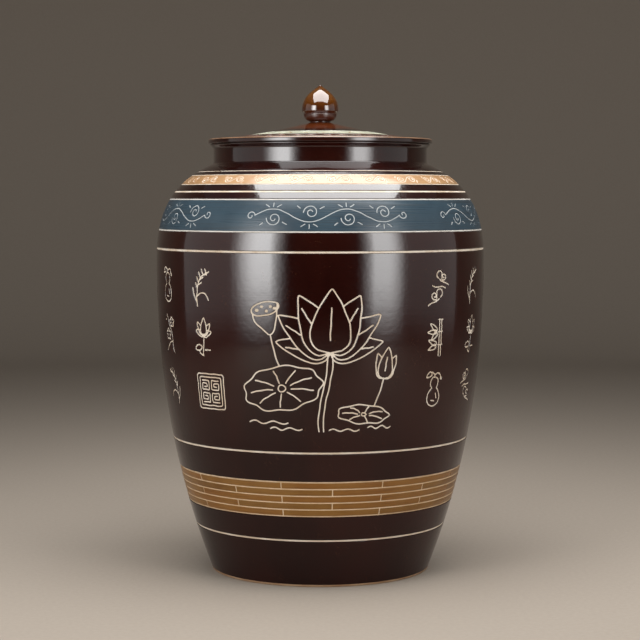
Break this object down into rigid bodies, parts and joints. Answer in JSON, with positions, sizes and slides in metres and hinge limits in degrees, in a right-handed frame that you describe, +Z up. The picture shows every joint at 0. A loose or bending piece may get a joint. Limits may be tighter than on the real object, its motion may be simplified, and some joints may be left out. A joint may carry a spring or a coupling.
{
  "type": "rice storage jar",
  "caption": "Tall glazed stoneware storage jar with a broad shoulder, short neck, lift-off domed lid with a bud knob and a seal ring on its spigot.",
  "frame": {"origin": "centre of the foot ring, on the surface that the jar stands on", "axes": "+Z up along the jar's axis of turning, through the knob's tip; -Y is the decorated front"},
  "size_m": [0.33, 0.33, 0.4879],
  "materials": {
    "brown_glaze": "deep gloss, dark red-brown",
    "amber_glaze": "deep gloss, amber",
    "clear_silicone": "milky translucent silicone, satin",
    "cream_slip": "matt cream slip in the cut lines",
    "tan_slip": "satin tan slip bands",
    "blue_slip": "satin blue-grey slip band",
    "raw_clay": "bare fired clay on the foot ring"
  },
  "bodies": {
    "jar": {"jar_body": "brown_glaze"},
    "seal": {"seal_ring": "clear_silicone"},
    "lid": {"lid": "brown_glaze", "lid_knob": "amber_glaze"}
  },
  "joints": [
    {"name": "lid_lift", "type": "slide", "parent": "jar", "child": "seal", "axis": [0, 0, 1], "range_m": [0, 0.12]},
    {"name": "lid_turn", "type": "hinge", "parent": "seal", "child": "lid", "pos_m": [0, 0, 0.4287], "axis": [0, 0, 1], "continuous": true}
  ]
}
